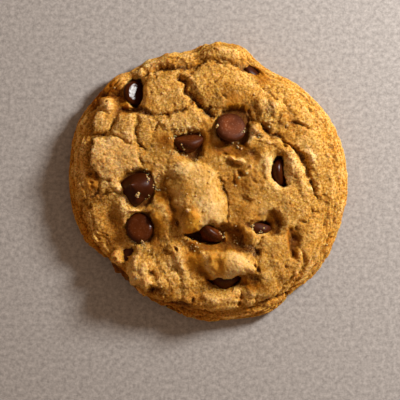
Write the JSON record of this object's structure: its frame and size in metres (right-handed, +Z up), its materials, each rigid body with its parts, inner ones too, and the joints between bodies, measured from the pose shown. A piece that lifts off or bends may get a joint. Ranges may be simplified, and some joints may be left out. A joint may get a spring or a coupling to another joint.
{
  "type": "chocolate chip cookie",
  "caption": "Round home-baked cookie with a domed, cracked and lumpy crown, a flat underside and whole chocolate chips set into it.",
  "frame": {"origin": "middle of the cookie's outline, on the flat underside", "axes": "+Z up out of the crown; +X and +Y across it, with the knob of the rim towards +Y"},
  "size_m": [0.0838, 0.0842, 0.0162],
  "materials": {
    "baked_dough": "baked, sandy and matt, golden brown",
    "chocolate": "dark chocolate, smooth, half glossy"
  },
  "bodies": {
    "root": {"dough": "baked_dough", "chip_01": "chocolate", "chip_02": "chocolate", "chip_03": "chocolate", "chip_04": "chocolate", "chip_05": "chocolate", "chip_06": "chocolate", "chip_07": "chocolate", "chip_08": "chocolate", "chip_09": "chocolate", "chip_10": "chocolate", "chip_11": "chocolate"}
  },
  "joints": []
}
